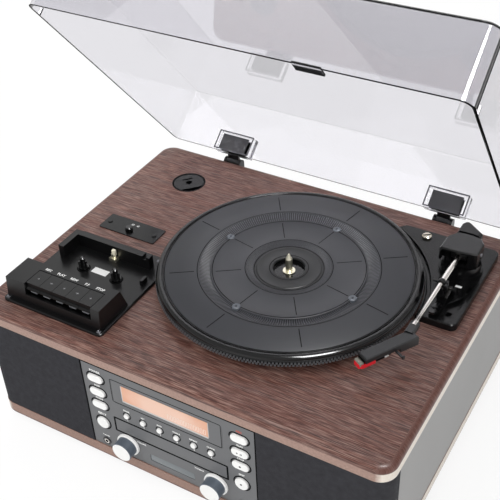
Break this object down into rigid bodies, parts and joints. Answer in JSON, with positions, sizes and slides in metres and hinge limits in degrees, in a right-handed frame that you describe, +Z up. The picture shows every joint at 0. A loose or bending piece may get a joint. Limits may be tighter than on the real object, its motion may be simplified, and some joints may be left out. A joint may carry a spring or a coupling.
{
  "type": "turntable",
  "caption": "Wood-cased record player with hinged smoky lid, tone arm, cassette deck, disc tray, amber display, push buttons and rotary knobs.",
  "frame": {"origin": "centre of the cabinet on the plane that its feet stand on", "axes": "+X to the right seen from the front, +Y to the back, +Z up; the control fascia faces -Y"},
  "size_m": [0.459, 0.4205, 0.4753],
  "materials": {
    "veneer": "satin dark reddish-brown veneer",
    "grey_plastic": "satin mid grey",
    "grille_cloth": "fine black woven cloth",
    "foot_rubber": "matt black",
    "display": "gloss, with an amber display area",
    "black_plastic": "satin to gloss black",
    "bright_metal": "polished",
    "platter_plastic": "satin charcoal with a glossy rim",
    "mat_rubber": "matt charcoal",
    "red_plastic": "gloss red",
    "smoked_plastic": "clear smoky acrylic",
    "knob_plastic": "silver-blue sides with a white face",
    "white_plastic": "gloss white"
  },
  "bodies": {
    "cabinet": {"top_board": "veneer", "bottom_board": "veneer", "side_wall_left": "grey_plastic", "side_wall_right": "grey_plastic", "front_panel": "grey_plastic", "back_panel": "grey_plastic", "grille_left": "grille_cloth", "grille_right": "grille_cloth", "feet": "foot_rubber", "display_window": "display", "headphone_jack": "black_plastic", "hinge_base_left": "black_plastic", "hinge_base_right": "black_plastic", "mech_plate": "black_plastic", "arm_rest": "black_plastic", "deck_housing": "black_plastic", "switch_plate": "black_plastic", "adaptor_cup": "black_plastic", "cd_housing": "black_plastic", "transit_screw": "bright_metal", "spindle": "bright_metal", "tape_head": "bright_metal"},
    "platter": {"platter": "platter_plastic", "platter_mat": "mat_rubber"},
    "arm_yoke": {"arm_yoke": "black_plastic"},
    "tone_arm": {"arm_block": "black_plastic", "arm_tube": "bright_metal", "headshell": "black_plastic", "cartridge": "black_plastic", "stylus_guard": "red_plastic"},
    "cue_lever": {"cue_lever": "black_plastic"},
    "lid": {"lid": "smoked_plastic", "hinge_arm_left": "black_plastic", "hinge_arm_right": "black_plastic"},
    "reel_spindle_left": {"reel_spindle_left": "black_plastic"},
    "reel_spindle_right": {"reel_spindle_right": "black_plastic"},
    "switch_button": {"switch_button": "black_plastic"},
    "adaptor": {"adaptor": "black_plastic"},
    "cd_tray": {"cd_tray": "grey_plastic"},
    "knob_left": {"knob_left": "knob_plastic"},
    "knob_right": {"knob_right": "knob_plastic"},
    "piano_key_1": {"piano_key_1": "black_plastic"},
    "piano_key_2": {"piano_key_2": "black_plastic"},
    "piano_key_3": {"piano_key_3": "black_plastic"},
    "piano_key_4": {"piano_key_4": "black_plastic"},
    "piano_key_5": {"piano_key_5": "black_plastic"},
    "pill_button_left_1": {"pill_button_left_1": "white_plastic"},
    "pill_button_left_2": {"pill_button_left_2": "white_plastic"},
    "pill_button_left_3": {"pill_button_left_3": "white_plastic"},
    "pill_button_right_1": {"pill_button_right_1": "white_plastic"},
    "pill_button_right_2": {"pill_button_right_2": "white_plastic"},
    "pill_button_right_3": {"pill_button_right_3": "white_plastic"},
    "round_button_left": {"round_button_left": "white_plastic"},
    "round_button_right": {"round_button_right": "white_plastic"},
    "small_button_1": {"small_button_1": "white_plastic"},
    "small_button_2": {"small_button_2": "white_plastic"},
    "small_button_3": {"small_button_3": "white_plastic"},
    "small_button_4": {"small_button_4": "white_plastic"},
    "small_button_5": {"small_button_5": "white_plastic"},
    "small_button_6": {"small_button_6": "white_plastic"}
  },
  "joints": [
    {"name": "platter_spin", "type": "hinge", "parent": "cabinet", "child": "platter", "pos_m": [0.0366, 0.006, 0.172], "axis": [0, 0, 1], "continuous": true},
    {"name": "arm_swing", "type": "hinge", "parent": "cabinet", "child": "arm_yoke", "pos_m": [0.1875, 0.096, 0.182], "axis": [0, 0, 1], "range_deg": [-34, 0]},
    {"name": "arm_lift", "type": "hinge", "parent": "arm_yoke", "child": "tone_arm", "pos_m": [0.1875, 0.096, 0.193], "axis": [-1, 0, 0], "range_deg": [0, 6.6]},
    {"name": "cue_lift", "type": "hinge", "parent": "cabinet", "child": "cue_lever", "pos_m": [0.1931, 0.052, 0.176], "axis": [-1, 0, 0], "range_deg": [0, 22]},
    {"name": "lid_hinge", "type": "hinge", "parent": "cabinet", "child": "lid", "pos_m": [0, 0.1825, 0.1557], "axis": [-1, 0, 0], "range_deg": [-50.6, 14.4]},
    {"name": "reel_left_spin", "type": "hinge", "parent": "cabinet", "child": "reel_spindle_left", "pos_m": [-0.1635, -0.08, 0.167], "axis": [0, 0, 1], "continuous": true},
    {"name": "reel_right_spin", "type": "hinge", "parent": "cabinet", "child": "reel_spindle_right", "pos_m": [-0.121, -0.08, 0.167], "axis": [0, 0, 1], "continuous": true},
    {"name": "switch_press", "type": "slide", "parent": "cabinet", "child": "switch_button", "axis": [0, 0, -1], "range_m": [0, 0.002], "stiffness_N_per_m": 300, "springref_m": -0.001},
    {"name": "adaptor_lift", "type": "slide", "parent": "cabinet", "child": "adaptor", "axis": [0, 0, 1], "range_m": [0, 0.03]},
    {"name": "tray_slide", "type": "slide", "parent": "cabinet", "child": "cd_tray", "axis": [0, -1, 0], "range_m": [0, 0.128]},
    {"name": "knob_left_turn", "type": "hinge", "parent": "cabinet", "child": "knob_left", "pos_m": [-0.0525, -0.18, 0.04452], "axis": [0, -1, 0], "range_deg": [-150, 150]},
    {"name": "knob_right_turn", "type": "hinge", "parent": "cabinet", "child": "knob_right", "pos_m": [0.0525, -0.18, 0.04452], "axis": [0, -1, 0], "continuous": true},
    {"name": "piano_key_1_press", "type": "hinge", "parent": "cabinet", "child": "piano_key_1", "pos_m": [-0.1718, -0.1285, 0.1835], "axis": [1, 0, 0], "range_deg": [0, 8], "stiffness_Nm_per_rad": 0.05, "springref_deg": -2.86},
    {"name": "piano_key_2_press", "type": "hinge", "parent": "cabinet", "child": "piano_key_2", "pos_m": [-0.1554, -0.1285, 0.1835], "axis": [1, 0, 0], "range_deg": [0, 8], "stiffness_Nm_per_rad": 0.05, "springref_deg": -2.86},
    {"name": "piano_key_3_press", "type": "hinge", "parent": "cabinet", "child": "piano_key_3", "pos_m": [-0.139, -0.1285, 0.1835], "axis": [1, 0, 0], "range_deg": [0, 8], "stiffness_Nm_per_rad": 0.05, "springref_deg": -2.86},
    {"name": "piano_key_4_press", "type": "hinge", "parent": "cabinet", "child": "piano_key_4", "pos_m": [-0.1226, -0.1285, 0.1835], "axis": [1, 0, 0], "range_deg": [0, 8], "stiffness_Nm_per_rad": 0.05, "springref_deg": -2.86},
    {"name": "piano_key_5_press", "type": "hinge", "parent": "cabinet", "child": "piano_key_5", "pos_m": [-0.1062, -0.1285, 0.1835], "axis": [1, 0, 0], "range_deg": [0, 8], "stiffness_Nm_per_rad": 0.05, "springref_deg": -2.86},
    {"name": "pill_button_left_1_press", "type": "slide", "parent": "cabinet", "child": "pill_button_left_1", "axis": [0, 1, 0], "range_m": [0, 0.0012], "stiffness_N_per_m": 400, "springref_m": -0.001},
    {"name": "pill_button_left_2_press", "type": "slide", "parent": "cabinet", "child": "pill_button_left_2", "axis": [0, 1, 0], "range_m": [0, 0.0012], "stiffness_N_per_m": 400, "springref_m": -0.001},
    {"name": "pill_button_left_3_press", "type": "slide", "parent": "cabinet", "child": "pill_button_left_3", "axis": [0, 1, 0], "range_m": [0, 0.0012], "stiffness_N_per_m": 400, "springref_m": -0.001},
    {"name": "pill_button_right_1_press", "type": "slide", "parent": "cabinet", "child": "pill_button_right_1", "axis": [0, 1, 0], "range_m": [0, 0.0012], "stiffness_N_per_m": 400, "springref_m": -0.001},
    {"name": "pill_button_right_2_press", "type": "slide", "parent": "cabinet", "child": "pill_button_right_2", "axis": [0, 1, 0], "range_m": [0, 0.0012], "stiffness_N_per_m": 400, "springref_m": -0.001},
    {"name": "pill_button_right_3_press", "type": "slide", "parent": "cabinet", "child": "pill_button_right_3", "axis": [0, 1, 0], "range_m": [0, 0.0012], "stiffness_N_per_m": 400, "springref_m": -0.001},
    {"name": "round_button_left_press", "type": "slide", "parent": "cabinet", "child": "round_button_left", "axis": [0, 1, 0], "range_m": [0, 0.0012], "stiffness_N_per_m": 400, "springref_m": -0.001},
    {"name": "round_button_right_press", "type": "slide", "parent": "cabinet", "child": "round_button_right", "axis": [0, 1, 0], "range_m": [0, 0.0012], "stiffness_N_per_m": 400, "springref_m": -0.001},
    {"name": "small_button_1_press", "type": "slide", "parent": "cabinet", "child": "small_button_1", "axis": [0, 1, 0], "range_m": [0, 0.0012], "stiffness_N_per_m": 400, "springref_m": -0.001},
    {"name": "small_button_2_press", "type": "slide", "parent": "cabinet", "child": "small_button_2", "axis": [0, 1, 0], "range_m": [0, 0.0012], "stiffness_N_per_m": 400, "springref_m": -0.001},
    {"name": "small_button_3_press", "type": "slide", "parent": "cabinet", "child": "small_button_3", "axis": [0, 1, 0], "range_m": [0, 0.0012], "stiffness_N_per_m": 400, "springref_m": -0.001},
    {"name": "small_button_4_press", "type": "slide", "parent": "cabinet", "child": "small_button_4", "axis": [0, 1, 0], "range_m": [0, 0.0012], "stiffness_N_per_m": 400, "springref_m": -0.001},
    {"name": "small_button_5_press", "type": "slide", "parent": "cabinet", "child": "small_button_5", "axis": [0, 1, 0], "range_m": [0, 0.0012], "stiffness_N_per_m": 400, "springref_m": -0.001},
    {"name": "small_button_6_press", "type": "slide", "parent": "cabinet", "child": "small_button_6", "axis": [0, 1, 0], "range_m": [0, 0.0012], "stiffness_N_per_m": 400, "springref_m": -0.001}
  ],
  "couplings": [
    {"joint": "arm_lift", "follows": "cue_lift", "ratio": 0.3}
  ]
}
